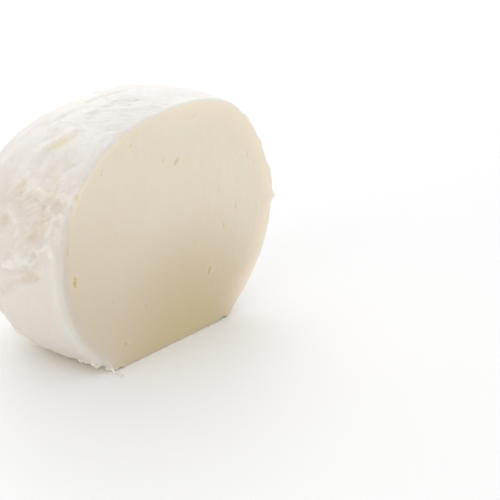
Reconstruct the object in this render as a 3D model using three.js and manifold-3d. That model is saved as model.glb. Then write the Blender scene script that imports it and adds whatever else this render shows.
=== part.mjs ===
// A cut mozzarella ball: the larger part of a soft ball of pulled-curd cheese. It rests on its settled
// underside, and the flat face that the knife left stands upright at its front.
//
// It is one closed solid. The whole ball is a full, slightly uneven round body about a level long axis
// that runs along Y. The knife went across that axis in front of the widest section, and the weight of
// the soft cheese has pressed a flat foot into the underside. The skin keeps the marks of the pulled
// curd: a gash, folds, creases and lumps. The cut face has small pits and one deeper hole.
//
// Units are millimetres. +X runs across the cut face, +Y goes from the cut to the round back, and +Z is
// up. The origin lies on the resting plane, under the middle of the part's box.

import * as THREE from "three";
import { mergeVertices } from "three/addons/utils/BufferGeometryUtils.js";
import Module from "manifold-3d";

const { abs, asin, atan2, cos, exp, hypot, max, min, PI, sign, sin } = Math;

// ---------------------------------------------------------------- Driving dimensions

const HALF_WIDTH = 33.3; // of the whole ball, along X
const HALF_LENGTH = 30.0; // of the whole ball, along Y
const HEIGHT_OVER_AXIS = 28.2; // from the long axis to the top
const HEIGHT_UNDER_AXIS = 27.2; // from the long axis to where the bottom would be, if nothing held it up
const FULLNESS = 2.2; // power of the outline along Y: 2 is an ellipse, and more is blunter

const AXIS_HEIGHT = 22.3; // the long axis above the resting plane
const AXIS_X = 0.3; // the long axis's place across, which puts the middle of the box over the origin
const FOOT_BEND = 2.9; // the underside bends into the flat foot within this height of the plane
const FOOT_CONTACT = 0.2; // cheese that would hang lower than this over the plane lies flat on it
const CUT_TO_WIDEST = 9.4; // the knife's distance in front of the widest section
const DEPTH = CUT_TO_WIDEST + HALF_LENGTH;
const CUT_Y = -DEPTH / 2; // the cut face's plane

// Uneven relief. Each layer is noise of a height, with bumps a size apart, in mm, and its own seed.
const SWELLS = [
  { height: 0.2, size: 17, seed: 1 },
  { height: 0.1, size: 8, seed: 2 },
];
const LUMPS = [
  { height: 0.6, size: 5.5, seed: 3 },
  { height: 0.4, size: 3.0, seed: 4 },
]; // of the rough patches
const CREASES = { height: -0.16, size: 7.5, seed: 5, spread: 0.25 }; // where this noise is near 0
const CUT_WAVE = { height: 0.12, size: 12, seed: 6 }; // of the cut face
const WANDER = { reach: 0.55, size: 3.5, seeds: [7, 8, 9] }; // of the marks from their smooth paths
const UNEVENNESS = { share: 0.5, size: 4, seed: 10 }; // of the marks' heights along their paths

const FOOT_FADE = 0.8; // the relief grows from none to full over this height above the plane
const LEAN_FADE = 3; // and it leans along Y only from this far behind the cut
const CUT_WAVE_FADE = 4; // the cut face's wave grows from none to full over this width of the rim
const PATCH_CORE = 0.45; // share of a rough patch's reach that is fully rough

// The section's slow waves: its radius grows and shrinks by these shares, so many times in one turn.
const SECTION_WAVES = [
  { turns: 2, cosine: 0.001, sine: 0.011 },
  { turns: 3, cosine: -0.006, sine: 0.016 },
  { turns: 4, cosine: -0.005, sine: -0.006 },
  { turns: 5, cosine: 0, sine: -0.005 },
];

// The gash, a shallow hollow that a carving ellipsoid cuts into the skin. Places on the skin are given
// as [degrees round the long axis from +X over the top, mm behind the cut].
const GASH = { from: [139.2, 13.0], to: [122.8, 7.6], halfWidth: 1.5, depth: 0.6 };

// Marks on the skin. Each follows a path of places. Height is along the skin's outward normal, and a
// groove's is negative.
const MARKS = [
  // the lip that hangs over the gash's far side
  { height: 0.4, width: 0.9, path: [[135.8, 13.2], [130.4, 11.3], [125.2, 9.8]] },
  // a raised thread that curls from the gash to the cut
  { height: 0.2, width: 0.5, path: [[120.9, 15.5], [121.3, 12.5], [122, 8.5], [124.1, 4.9], [126.9, 3]] },
  // grooves pulled along the top, and the lump that stands on its outline
  { height: -0.4, width: 1.4, path: [[118.7, 16.6], [113, 16.4], [107.3, 15.4]] },
  { height: -0.3, width: 1.0, path: [[101.7, 16.8], [96.4, 15.9], [88.4, 14.2]] },
  { height: -0.28, width: 0.8, path: [[115.7, 9.4], [109, 10.2], [103.1, 9.8], [99, 10.7]] },
  { height: -0.2, width: 0.4, path: [[96.6, 9.9], [94.8, 9.2], [92.9, 7.8]] },
  { height: -0.22, width: 0.7, path: [[92.6, 7.5], [92.4, 7.2]] },
  { height: -0.3, width: 2.6, path: [[124, 18.7], [129, 13.5]] },
  { height: 0.3, width: 1.5, path: [[78, 18.8], [75, 18.0]] },
  // a notch in the edge of the cut, and the small fold under it
  { height: -0.22, width: 0.6, path: [[128.3, 0.3], [124.9, 0.5], [121.6, 0.6]] },
  { height: 0.3, width: 0.7, path: [[122.6, 2.6], [120.1, 1.2]] },
  // the fold that runs out of the cut's edge, and the ridges and lumps beside it
  { height: -0.25, width: 0.7, path: [[145.2, 1.2], [149.5, 1.5], [153.0, 2.0], [156.0, 3.2]] },
  { height: 0.25, width: 0.9, path: [[149.8, 3.2], [153.4, 4.0], [156.0, 4.6]] },
  { height: 0.5, width: 0.8, path: [[156.8, 2.0], [160.4, 2.8], [163.6, 3.4]] },
  { height: 0.6, width: 0.9, path: [[167.4, 2.7], [170.4, 1.6]] },
  // creases and dents of the rough flank
  { height: -0.3, width: 0.9, path: [[147.8, 12.8], [151.8, 13.6]] },
  { height: -0.35, width: 0.7, path: [[153.2, 12.7], [156, 12.3], [159.4, 12.7]] },
  { height: -0.35, width: 0.7, path: [[162.4, 6.8], [165.4, 6.9], [167, 7.6]] },
  { height: -0.3, width: 0.8, path: [[151.6, 9.0], [154.3, 8.5]] },
  { height: -0.3, width: 0.9, path: [[151.2, 5.4], [149.8, 4.6]] },
  { height: -0.3, width: 0.7, path: [[155.4, 6.4], [160.4, 5.4], [158.6, 4.6]] },
  // three nodules over a bent crease, and the long crease that ends the rough flank below
  { height: 0.7, width: 1.0, path: [[177.6, 12.4], [176.6, 11.4]] },
  { height: 0.85, width: 1.2, path: [[174.6, 8.8], [174, 6.9]] },
  { height: 0.5, width: 1.0, path: [[169.8, 4.6], [168.6, 3.6]] },
  { height: -0.5, width: 0.8, path: [[180.4, 11.8], [178.4, 8.0], [175.2, 6.1], [172.4, 5.7]] },
  { height: -0.6, width: 1.0, path: [[188.4, 15.0], [184.6, 11.4], [179.8, 6.2]] },
  // where the soft cheese spreads over the plane: both front corners, and a fold low on the flank
  { height: 0.8, width: 1.6, path: [[231, 0], [232, 2]] },
  { height: 0.8, width: 1.6, path: [[309, 0], [308, 2]] },
  { height: 0.7, width: 1.5, path: [[214.5, 20.2], [219, 17.2]] },
  { height: -0.5, width: 0.7, path: [[208, 20.2], [213, 17.6], [216, 14.5]] },
  // swellings of the far edge
  { height: 0.25, width: 4, path: [[50, 0], [32, 0]] },
  { height: 0.6, width: 5, path: [[11, 0], [-16, 0]] },
  // hidden from the front: the far side and the back carry marks of the same kinds
  { height: -0.6, width: 1.1, path: [[62, 9], [57, 13], [50, 16]] },
  { height: 0.5, width: 1.2, path: [[59, 17], [52, 20]] },
  { height: -0.55, width: 1.1, path: [[34, 6], [28, 11], [25, 17]] },
  { height: -0.55, width: 1.2, path: [[8, 12], [2, 17], [1, 22]] },
  { height: 0.6, width: 1.5, path: [[16, 20], [13, 23]] },
  { height: -0.6, width: 1.1, path: [[82, 24], [96, 27], [108, 27]] },
  { height: -0.5, width: 1.1, path: [[40, 28], [58, 31], [80, 32.5]] },
  { height: -0.55, width: 1.2, path: [[150, 25], [163, 29], [176, 31]] },
  { height: 0.6, width: 1.5, path: [[168, 22], [172, 25.5]] },
  { height: -0.5, width: 1.1, path: [[200, 24], [214, 28], [236, 31]] },
  { height: -0.5, width: 1.2, path: [[350, 10], [344, 16]] },
];

// Where the skin is lumpy and creased all over: the middle, as in MARKS, and how far it reaches, in mm.
const ROUGH_PATCHES = [
  { angle: 157, back: 8, reach: 14 },
  { angle: 173, back: 8, reach: 7 },
  { angle: 20, back: 16, reach: 12 },
  { angle: 75, back: 29, reach: 10 },
  { angle: 205, back: 30, reach: 10 },
];

// Ragged flakes that the knife dragged out of the far edge of the cut: place round the edge, and size.
const EDGE_FLAKES = [
  { angle: 25.5, height: 0.45, width: 0.9 },
  { angle: 11, height: 0.5, width: 1.1 },
  { angle: 6.5, height: 0.6, width: 1.2 },
  { angle: 2.4, height: 0.8, width: 1.1 },
  { angle: 0.4, height: 1.3, width: 0.7 },
];

// Holes in the cut face, each carved by an ellipsoid: the middle [across from the long axis, up from the
// plane], half the width, half the height and the depth, and how far the top leans to +X, in degrees.
const HOLES = [
  { at: [-28.0, 21.5], halfWidth: 0.6, halfHeight: 1.35, depth: 1.0, lean: -4 },
  { at: [-29.6, 28.0], halfWidth: 0.5, halfHeight: 0.8, depth: 0.35, lean: 8 },
  { at: [1.3, 37.8], halfWidth: 0.5, halfHeight: 1.1, depth: 0.6, lean: 50 },
  { at: [-2.7, 39.0], halfWidth: 0.4, halfHeight: 0.6, depth: 0.3, lean: 30 },
  { at: [11.1, 12.3], halfWidth: 0.5, halfHeight: 1.0, depth: 0.7, lean: 35 },
  { at: [-14.9, 4.6], halfWidth: 0.5, halfHeight: 0.7, depth: 0.5, lean: -60 },
  { at: [15.8, 20.5], halfWidth: 0.4, halfHeight: 0.85, depth: 0.4, lean: 0 },
];

// Longest edges of the facets, in mm: fine along marks and the cut's edge, coarse where it is plain.
const PLAIN_EDGE = 3.6;
const PATCH_EDGE = 1.4; // where the skin is at least this rough:
const PATCH_ROUGHNESS = 0.3;
const RIM_EDGE = 2.0;
const FLAT_EDGE = 6.5;
const MARK_FINENESS = 1.2; // of a mark's width, out to this many of its widths:
const MARK_REACH = 1.5;
const FINEST_EDGE = 1.0; // even along the narrowest marks
const COARSENING = 0.9; // how fast the longest edge grows with the distance from a mark

// ---------------------------------------------------------------- Small helpers

const clamp01 = (x) => min(max(x, 0), 1);
const radians = (degrees) => (degrees * PI) / 180;
const vector = (x, y, z) => new THREE.Vector3(x, y, z);

/** 0 below low, 1 above high, and a smooth step between. */
function smoothStep(low, high, x) {
  const t = clamp01((x - low) / (high - low));
  return t * t * (3 - 2 * t);
}

const WEAK_SLOPE = 0.3; // the smaller of the two steepnesses that the noise mixes
const NOISE_GAIN = 1.3; // brings the noise to about -1 to 1

/** A fixed pseudo-random whole number for a cell of the noise's lattice. */
function cellNumber(i, j, k, seed) {
  let h = Math.imul(i, 374761393) + Math.imul(j, 668265263);
  h = (h + Math.imul(k, 1274126177) + Math.imul(seed, 97531)) | 0;
  h = Math.imul(h ^ (h >>> 13), 1103515245);
  return (h ^ (h >>> 16)) >>> 0;
}

/** Gradient noise from about -1 to 1, its bumps about size apart. */
function noise(point, { size, seed }) {
  const [x, y, z] = [point.x / size, point.y / size, point.z / size];
  const [i, j, k] = [x, y, z].map(Math.floor);
  const ease = (t) => t * t * t * (t * (6 * t - 15) + 10);
  let sum = 0;
  for (let corner = 0; corner < 8; corner++) {
    const [a, b, c] = [corner & 1, (corner >> 1) & 1, corner >> 2];
    const [dx, dy, dz] = [x - i - a, y - j - b, z - k - c];
    const h = cellNumber(i + a, j + b, k + c, seed);
    const slope =
      (h & 1 ? dx : -dx) * (h & 8 ? 1 : WEAK_SLOPE) +
      (h & 2 ? dy : -dy) * (h & 16 ? 1 : WEAK_SLOPE) +
      (h & 4 ? dz : -dz) * (h & 32 ? 1 : WEAK_SLOPE);
    sum += slope * ease(1 - abs(dx)) * ease(1 - abs(dy)) * ease(1 - abs(dz));
  }
  return NOISE_GAIN * sum;
}

// ---------------------------------------------------------------- The plain ball, its long axis at X = 0

/** Radius of the widest section in a direction round the long axis. */
function sectionRadius(angle) {
  const halfHeight = sin(angle) > 0 ? HEIGHT_OVER_AXIS : HEIGHT_UNDER_AXIS;
  let share = 1;
  for (const { turns, cosine, sine } of SECTION_WAVES)
    share += cosine * cos(turns * angle) + sine * sin(turns * angle);
  return share / hypot(cos(angle) / HALF_WIDTH, sin(angle) / halfHeight);
}

/** Half-size of the section at a distance behind the cut, as a share of the widest. */
function sectionShare(back) {
  const along = min(abs((back - CUT_TO_WIDEST) / HALF_LENGTH), 1);
  return (1 - along ** FULLNESS) ** (1 / FULLNESS);
}

/** Height over the resting plane, once the cheese has settled on it. */
function settled(height) {
  if (height <= -FOOT_BEND) return 0;
  return height >= FOOT_BEND ? height : (height + FOOT_BEND) ** 2 / (4 * FOOT_BEND);
}

/** The plain skin's point at an angle round the long axis and a distance behind the cut. */
function skinPoint(angle, back) {
  const radius = sectionRadius(angle) * sectionShare(back);
  return vector(
    radius * cos(angle),
    CUT_Y + back,
    settled(AXIS_HEIGHT + radius * sin(angle)),
  );
}

/** Outward normal of the unsettled ball at a point of the plain skin. */
function skinNormal(angle, back) {
  const radius = sectionRadius(angle) * sectionShare(back);
  const halfHeight = sin(angle) > 0 ? HEIGHT_OVER_AXIS : HEIGHT_UNDER_AXIS;
  const along = (back - CUT_TO_WIDEST) / HALF_LENGTH;
  const across = sectionShare(back) ** (FULLNESS - 2);
  return vector(
    (across * radius * cos(angle)) / HALF_WIDTH ** 2,
    (sign(along) * abs(along) ** (FULLNESS - 1)) / HALF_LENGTH,
    (across * radius * sin(angle)) / halfHeight ** 2,
  ).normalize();
}

// ---------------------------------------------------------------- Relief of the skin

const markLines = MARKS.map((mark) => ({
  ...mark,
  points: mark.path.map(([degrees, back]) => skinPoint(radians(degrees), back)),
}));

const patches = ROUGH_PATCHES.map(({ angle, back, reach }) => ({
  middle: skinPoint(radians(angle), back),
  reach,
}));

const flakes = EDGE_FLAKES.map(({ angle, height, width }) => ({
  at: skinPoint(radians(angle), 0),
  height,
  width,
}));

/** Distance from a point to a line of points. */
function distanceToLine(point, points) {
  const nearest = vector();
  let least = Infinity;
  for (let i = 1; i < points.length; i++) {
    new THREE.Line3(points[i - 1], points[i]).closestPointToPoint(point, true, nearest);
    least = min(least, nearest.distanceTo(point));
  }
  return least;
}

const bell = (distance, width) => exp(-((distance / width) ** 2));

/** How rough the skin is at a point, from 0 to 1. */
function roughness(point) {
  const shares = patches.map(({ middle, reach }) =>
    smoothStep(reach, PATCH_CORE * reach, point.distanceTo(middle)),
  );
  return max(...shares);
}

/** A point moved a little by slow noise, so that what is measured from it wanders as torn curd does. */
function strayed(point) {
  const { reach, size, seeds } = WANDER;
  const shift = vector(...seeds.map((seed) => noise(point, { size, seed })));
  return point.clone().addScaledVector(shift, reach);
}

/** Height that layers of noise add up to at a point. */
function layered(layers, point) {
  return layers.reduce((sum, layer) => sum + layer.height * noise(point, layer), 0);
}

/** Height of the skin's relief at a point of the plain skin. */
function skinRelief(point) {
  let height = layered(SWELLS, point);
  const rough = roughness(point);
  if (rough > 0) {
    const crease = CREASES.height * bell(noise(point, CREASES), CREASES.spread);
    height += rough * (layered(LUMPS, point) + crease);
  }
  const from = strayed(point);
  const unevenness = 1 + UNEVENNESS.share * noise(point, UNEVENNESS);
  for (const { points, width, height: rise } of markLines)
    height += rise * unevenness * bell(distanceToLine(from, points), width);
  for (const { at, width, height: rise } of flakes)
    height += rise * bell(at.distanceTo(point), width);
  return height;
}

/** The finished skin: relief on the plain skin, none at the foot, and in the section's plane at the cut. */
function finishedSkin(angle, back) {
  const point = skinPoint(angle, back);
  const offset = skinNormal(angle, back).multiplyScalar(
    skinRelief(point) * smoothStep(0, FOOT_FADE, point.z),
  );
  offset.y *= smoothStep(0, LEAN_FADE, back);
  point.add(offset);
  if (point.z < FOOT_CONTACT) point.z = 0;
  return point;
}

// ---------------------------------------------------------------- From a sphere to the cheese

// The facets are laid out on a unit sphere. Its half with y > 0 becomes the skin, its half with y < 0
// becomes the cut face, and its equator becomes the edge between them.

const cutMiddle = vector(0, CUT_Y, AXIS_HEIGHT);
const rimTurn = -asin((CUT_TO_WIDEST / HALF_LENGTH) ** (FULLNESS / 2));

/** The distance behind the cut for a share of the way from the cut's edge to the back. */
function backAt(share) {
  const s = sin(rimTurn + share * (PI / 2 - rimTurn));
  return CUT_TO_WIDEST + HALF_LENGTH * sign(s) * abs(s) ** (2 / FULLNESS);
}

/** The place on the cheese of a point on the unit sphere. */
function cheesePoint(q) {
  const angle = atan2(q.z, q.x);
  const share = asin(min(abs(q.y), 1)) / (PI / 2);
  if (q.y >= 0) return finishedSkin(angle, backAt(share));
  const rim = finishedSkin(angle, 0);
  const point = rim.clone().lerp(cutMiddle, share);
  const fade = smoothStep(0, CUT_WAVE_FADE, point.distanceTo(rim));
  point.y += CUT_WAVE.height * noise(point, CUT_WAVE) * fade;
  return point;
}

/** The same place without relief, which is all that the facets' sizes need. */
function plainPoint(q) {
  const angle = atan2(q.z, q.x);
  const share = asin(min(abs(q.y), 1)) / (PI / 2);
  if (q.y >= 0) return skinPoint(angle, backAt(share));
  return skinPoint(angle, 0).lerp(cutMiddle, share);
}

/** The longest that a facet's edge may be at a place. */
function longestEdge(place, onCut) {
  const toCut = onCut ? distanceToRim(place) : place.y - CUT_Y;
  const nearRim = RIM_EDGE + COARSENING * toCut;
  if (onCut || place.z === 0) return min(nearRim, FLAT_EDGE);
  let longest = min(nearRim, PLAIN_EDGE);
  if (roughness(place) > PATCH_ROUGHNESS) longest = min(longest, PATCH_EDGE);
  for (const { points, width } of markLines) {
    const beyond = max(distanceToLine(place, points) - MARK_REACH * width, 0);
    longest = min(longest, max(MARK_FINENESS * width, FINEST_EDGE) + COARSENING * beyond);
  }
  return longest;
}

/** Distance from a point of the cut face to the cut's edge, along the ray from the face's middle. */
function distanceToRim(place) {
  const angle = atan2(place.z - AXIS_HEIGHT, place.x);
  return skinPoint(angle, 0).distanceTo(place);
}

// ---------------------------------------------------------------- Facets

/** Splits the facets' long edges at their middles, again and again, until none is too long. */
function refine(points, faces) {
  const places = points.map(plainPoint);
  for (;;) {
    const middles = new Map();
    const edgeName = (a, b) => (a < b ? `${a},${b}` : `${b},${a}`);
    for (const face of faces)
      face.forEach((a, corner) => {
        const b = face[(corner + 1) % 3];
        const name = edgeName(a, b);
        if (middles.has(name)) return;
        const q = points[a].clone().add(points[b]).normalize();
        const place = plainPoint(q);
        const tooLong = places[a].distanceTo(places[b]) > longestEdge(place, q.y < 0);
        middles.set(name, tooLong ? points.push(q) - 1 : -1);
        if (tooLong) places.push(place);
      });
    const made = faces.flatMap((face) => {
      const cuts = face.map((a, corner) => middles.get(edgeName(a, face[(corner + 1) % 3])));
      return splitFace(face, cuts, places);
    });
    if (made.length === faces.length) return faces;
    faces = made;
  }
}

/** One face as the faces it becomes when the edges with a middle point are cut there. */
function splitFace(face, cuts, places) {
  const count = cuts.filter((cut) => cut >= 0).length;
  if (count === 0) return [face];
  if (count === 3) {
    const [[a, b, c], [ab, bc, ca]] = [face, cuts];
    return [[a, ab, ca], [ab, b, bc], [ca, bc, c], [ab, bc, ca]];
  }
  // turn the face so that its uncut edge, or its only cut one, is the last
  const last = count === 1 ? cuts.findIndex((cut) => cut >= 0) : cuts.indexOf(-1);
  const turn = (list) => [1, 2, 3].map((step) => list[(last + step) % 3]);
  const [[a, b, c], [ab, bc, ca]] = [turn(face), turn(cuts)];
  if (count === 1) return [[a, b, ca], [b, c, ca]];
  const cutFromA = places[a].distanceTo(places[bc]) < places[ab].distanceTo(places[c]);
  return cutFromA
    ? [[ab, b, bc], [a, ab, bc], [a, bc, c]]
    : [[ab, b, bc], [a, ab, c], [ab, bc, c]];
}

/** The cheese as a closed geometry, before the holes are carved. */
function cheeseGeometry() {
  const seed = new THREE.OctahedronGeometry(1, 2);
  seed.deleteAttribute("normal");
  seed.deleteAttribute("uv");
  const sphere = mergeVertices(seed);
  const at = sphere.getAttribute("position");
  const points = Array.from({ length: at.count }, (_, i) =>
    vector().fromBufferAttribute(at, i).normalize(),
  );
  const corners = Array.from(sphere.getIndex().array);
  const faces = Array.from({ length: corners.length / 3 }, (_, i) =>
    corners.slice(3 * i, 3 * i + 3),
  );
  const finished = refine(points, faces);
  return new THREE.BufferGeometry()
    .setFromPoints(points.map(cheesePoint))
    .setIndex(finished.flat());
}

// ---------------------------------------------------------------- Carving

const wasm = await Module();
wasm.setup();

/** An ellipsoid about a middle, halfLength long each way along one direction, and depth deep. */
function carvingEllipsoid(middle, along, outward, { halfLength, halfWidth, depth }) {
  const geometry = new THREE.SphereGeometry(1, 10, 8);
  geometry.scale(halfWidth, depth, halfLength);
  const aside = outward.clone().cross(along);
  geometry.applyMatrix4(new THREE.Matrix4().makeBasis(aside, outward, along));
  return geometry.translate(middle.x, middle.y, middle.z);
}

/** The ellipsoid of one hole in the cut face. */
function holeGeometry({ at: [across, up], halfWidth, halfHeight, depth, lean }) {
  const along = vector(sin(radians(lean)), 0, cos(radians(lean)));
  const sizes = { halfLength: halfHeight, halfWidth, depth };
  return carvingEllipsoid(vector(across, CUT_Y, up), along, vector(0, -1, 0), sizes);
}

/** The ellipsoid of the gash, between its two ends on the finished skin. */
function gashGeometry({ from, to, halfWidth, depth }) {
  const [start, end] = [from, to].map(([degrees, back]) => finishedSkin(radians(degrees), back));
  const [angle, back] = [(from[0] + to[0]) / 2, (from[1] + to[1]) / 2];
  const middle = finishedSkin(radians(angle), back);
  const along = end.clone().sub(start);
  const sizes = { halfLength: along.length() / 2, halfWidth, depth };
  along.normalize();
  const outward = skinNormal(radians(angle), back);
  outward.addScaledVector(along, -outward.dot(along)).normalize();
  return carvingEllipsoid(middle, along, outward, sizes);
}

/** A closed geometry as a solid that can be cut. */
function solidOf(geometry) {
  const bare = geometry.clone();
  bare.deleteAttribute("normal");
  bare.deleteAttribute("uv");
  const merged = mergeVertices(bare, 1e-4);
  return new wasm.Manifold(
    new wasm.Mesh({
      numProp: 3,
      vertProperties: new Float32Array(merged.getAttribute("position").array),
      triVerts: new Uint32Array(merged.getIndex().array),
    }),
  );
}

/** A solid as a geometry again, with flat-shaded facets. */
function geometryOf(solid) {
  const { vertProperties, triVerts } = solid.getMesh();
  const indexed = new THREE.BufferGeometry()
    .setAttribute("position", new THREE.BufferAttribute(vertProperties, 3))
    .setIndex(new THREE.BufferAttribute(triVerts, 1));
  indexed.computeVertexNormals();
  return indexed;
}

// ---------------------------------------------------------------- The part

const cheese = new THREE.MeshStandardMaterial({
  name: "mozzarella",
  color: 0xf6f1e4,
  roughness: 0.45,
  metalness: 0,
});

function makeBall() {
  const carvings = [gashGeometry(GASH), ...HOLES.map(holeGeometry)].map(solidOf);
  const carved = carvings.reduce((body, carving) => body.subtract(carving), solidOf(cheeseGeometry()));
  const mesh = new THREE.Mesh(geometryOf(carved), cheese);
  mesh.name = "mozzarella";
  mesh.position.x = AXIS_X;
  return mesh;
}

const part = new THREE.Group();
part.add(makeBall());

export default part;
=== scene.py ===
"""The looks of a cut mozzarella ball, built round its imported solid.

The cheese is one closed surface. It is laid out on a unit sphere, whose half with y > 0 becomes the
skin and whose half with y < 0 becomes the cut face, and it is split until its triangles are fine
enough for the marks they carry. It has the solid's own form, worked out by the same functions from the
same sizes, and on top of that what is too fine for the solid: the rounded edge of the cut, the pulled
curd's fibres and pocks, the torn lip along the foot and the knife's faint tracks. A loose shred at the
corner of the cut is a small piece of its own.

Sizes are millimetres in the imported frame: +X across the cut face, +Y from the cut to the round back,
+Z up. Meshes are turned into metres as they are made.
"""

import bpy
import numpy as np
from mathutils import Matrix, Vector


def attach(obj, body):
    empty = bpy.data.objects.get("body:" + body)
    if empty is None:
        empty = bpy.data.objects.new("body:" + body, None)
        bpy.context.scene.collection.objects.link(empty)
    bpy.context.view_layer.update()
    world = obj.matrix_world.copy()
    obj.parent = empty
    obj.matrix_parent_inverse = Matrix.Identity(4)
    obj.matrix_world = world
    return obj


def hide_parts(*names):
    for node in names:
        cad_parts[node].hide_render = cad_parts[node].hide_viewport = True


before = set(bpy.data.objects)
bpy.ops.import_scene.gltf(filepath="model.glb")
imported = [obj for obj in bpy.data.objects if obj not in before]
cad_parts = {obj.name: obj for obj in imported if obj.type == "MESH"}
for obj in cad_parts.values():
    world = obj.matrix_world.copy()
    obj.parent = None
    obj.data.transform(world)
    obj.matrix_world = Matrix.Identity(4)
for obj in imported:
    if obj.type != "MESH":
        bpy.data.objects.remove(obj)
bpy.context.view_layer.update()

MM = 0.001

# ---------- Driving dimensions, as in the solid

HALF_WIDTH = 33.3  # of the whole ball, along X
HALF_LENGTH = 30.0  # of the whole ball, along Y
HEIGHT_OVER_AXIS = 28.2
HEIGHT_UNDER_AXIS = 27.2
FULLNESS = 2.2  # power of the outline along Y
AXIS_HEIGHT = 22.3  # the long axis above the resting plane
AXIS_X = 0.3  # the long axis's place across: the shape is worked out about X = 0 and moved here
FOOT_BEND = 2.9  # the underside bends into the flat foot within this height of the plane
CUT_TO_WIDEST = 9.4
CUT_Y = -(CUT_TO_WIDEST + HALF_LENGTH) / 2

# The section's slow waves: turns, and the shares of the radius as a cosine and a sine.
SECTION_WAVES = [(2, 0.001, 0.011), (3, -0.006, 0.016), (4, -0.005, -0.006), (5, 0, -0.005)]

# Layers of noise: height, distance between bumps, seed.
SWELLS = [(0.2, 17, 1), (0.1, 8, 2)]
LUMPS = [(0.6, 5.5, 3), (0.4, 3.0, 4)]
CREASE_HEIGHT, CREASE_SIZE, CREASE_SEED, CREASE_SPREAD = -0.16, 7.5, 5, 0.25
CUT_WAVE = [(0.12, 12, 6)]
WANDER, WANDER_SIZE, WANDER_SEEDS = 0.55, 3.5, (7, 8, 9)
UNEVENNESS, UNEVENNESS_SIZE, UNEVENNESS_SEED = 0.5, 4, 10
FOOT_FADE = 0.8  # relief fades in within this height of the plane
LEAN_FADE = 3  # its lean along Y fades in this far behind the cut
CUT_WAVE_FADE = 4  # and the cut's own waves fade in this far from its edge
PATCH_CORE = 0.45  # share of a rough patch's reach where it is fully rough

# Marks on the skin: height, width and path. A place is given in degrees round the long axis, from +X
# over the top, and in mm behind the cut.
MARKS = [
    (0.4, 0.9, [(135.8, 13.2), (130.4, 11.3), (125.2, 9.8)]),
    (0.2, 0.5, [(120.9, 15.5), (121.3, 12.5), (122, 8.5), (124.1, 4.9), (126.9, 3)]),
    (-0.4, 1.4, [(118.7, 16.6), (113, 16.4), (107.3, 15.4)]),
    (-0.3, 1.0, [(101.7, 16.8), (96.4, 15.9), (88.4, 14.2)]),
    (-0.28, 0.8, [(115.7, 9.4), (109, 10.2), (103.1, 9.8), (99, 10.7)]),
    (-0.2, 0.4, [(96.6, 9.9), (94.8, 9.2), (92.9, 7.8)]),
    (-0.22, 0.7, [(92.6, 7.5), (92.4, 7.2)]),
    (-0.3, 2.6, [(124, 18.7), (129, 13.5)]),
    (0.3, 1.5, [(78, 18.8), (75, 18.0)]),
    (-0.22, 0.6, [(128.3, 0.3), (124.9, 0.5), (121.6, 0.6)]),
    (0.3, 0.7, [(122.6, 2.6), (120.1, 1.2)]),
    (-0.25, 0.7, [(145.2, 1.2), (149.5, 1.5), (153.0, 2.0), (156.0, 3.2)]),
    (0.25, 0.9, [(149.8, 3.2), (153.4, 4.0), (156.0, 4.6)]),
    (0.5, 0.8, [(156.8, 2.0), (160.4, 2.8), (163.6, 3.4)]),
    (0.6, 0.9, [(167.4, 2.7), (170.4, 1.6)]),
    (-0.3, 0.9, [(147.8, 12.8), (151.8, 13.6)]),
    (-0.35, 0.7, [(153.2, 12.7), (156, 12.3), (159.4, 12.7)]),
    (-0.35, 0.7, [(162.4, 6.8), (165.4, 6.9), (167, 7.6)]),
    (-0.3, 0.8, [(151.6, 9.0), (154.3, 8.5)]),
    (-0.3, 0.9, [(151.2, 5.4), (149.8, 4.6)]),
    (-0.3, 0.7, [(155.4, 6.4), (160.4, 5.4), (158.6, 4.6)]),
    (0.7, 1.0, [(177.6, 12.4), (176.6, 11.4)]),
    (0.85, 1.2, [(174.6, 8.8), (174, 6.9)]),
    (0.5, 1.0, [(169.8, 4.6), (168.6, 3.6)]),
    (-0.5, 0.8, [(180.4, 11.8), (178.4, 8.0), (175.2, 6.1), (172.4, 5.7)]),
    (-0.6, 1.0, [(188.4, 15.0), (184.6, 11.4), (179.8, 6.2)]),
    (0.8, 1.6, [(231, 0), (232, 2)]),
    (0.8, 1.6, [(309, 0), (308, 2)]),
    (0.7, 1.5, [(214.5, 20.2), (219, 17.2)]),
    (-0.5, 0.7, [(208, 20.2), (213, 17.6), (216, 14.5)]),
    (0.25, 4, [(50, 0), (32, 0)]),
    (0.6, 5, [(11, 0), (-16, 0)]),
    (-0.6, 1.1, [(62, 9), (57, 13), (50, 16)]),
    (0.5, 1.2, [(59, 17), (52, 20)]),
    (-0.55, 1.1, [(34, 6), (28, 11), (25, 17)]),
    (-0.55, 1.2, [(8, 12), (2, 17), (1, 22)]),
    (0.6, 1.5, [(16, 20), (13, 23)]),
    (-0.6, 1.1, [(82, 24), (96, 27), (108, 27)]),
    (-0.5, 1.1, [(40, 28), (58, 31), (80, 32.5)]),
    (-0.55, 1.2, [(150, 25), (163, 29), (176, 31)]),
    (0.6, 1.5, [(168, 22), (172, 25.5)]),
    (-0.5, 1.1, [(200, 24), (214, 28), (236, 31)]),
    (-0.5, 1.2, [(350, 10), (344, 16)]),
]

# Rough patches: middle, and reach in mm. Flakes along the cut's edge: degrees, height, width.
ROUGH_PATCHES = [((157, 8), 14), ((173, 8), 7), ((20, 16), 12), ((75, 29), 10), ((205, 30), 10)]
EDGE_FLAKES = [(25.5, 0.45, 0.9), (11, 0.5, 1.1), (6.5, 0.6, 1.2), (2.4, 0.8, 1.1), (0.4, 1.3, 0.7)]

# The gash: its ends on the skin and its depth, and its widths to either side of its deepest line:
# narrow under the lip above it, and wide where it runs out. The solid's is a little plainer.
GASH_FROM, GASH_TO, GASH_DEPTH = (139.2, 13.0), (122.8, 7.6), 0.5
GASH_UNDER_LIP, GASH_RUN_OUT = 1.1, 3.0

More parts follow.
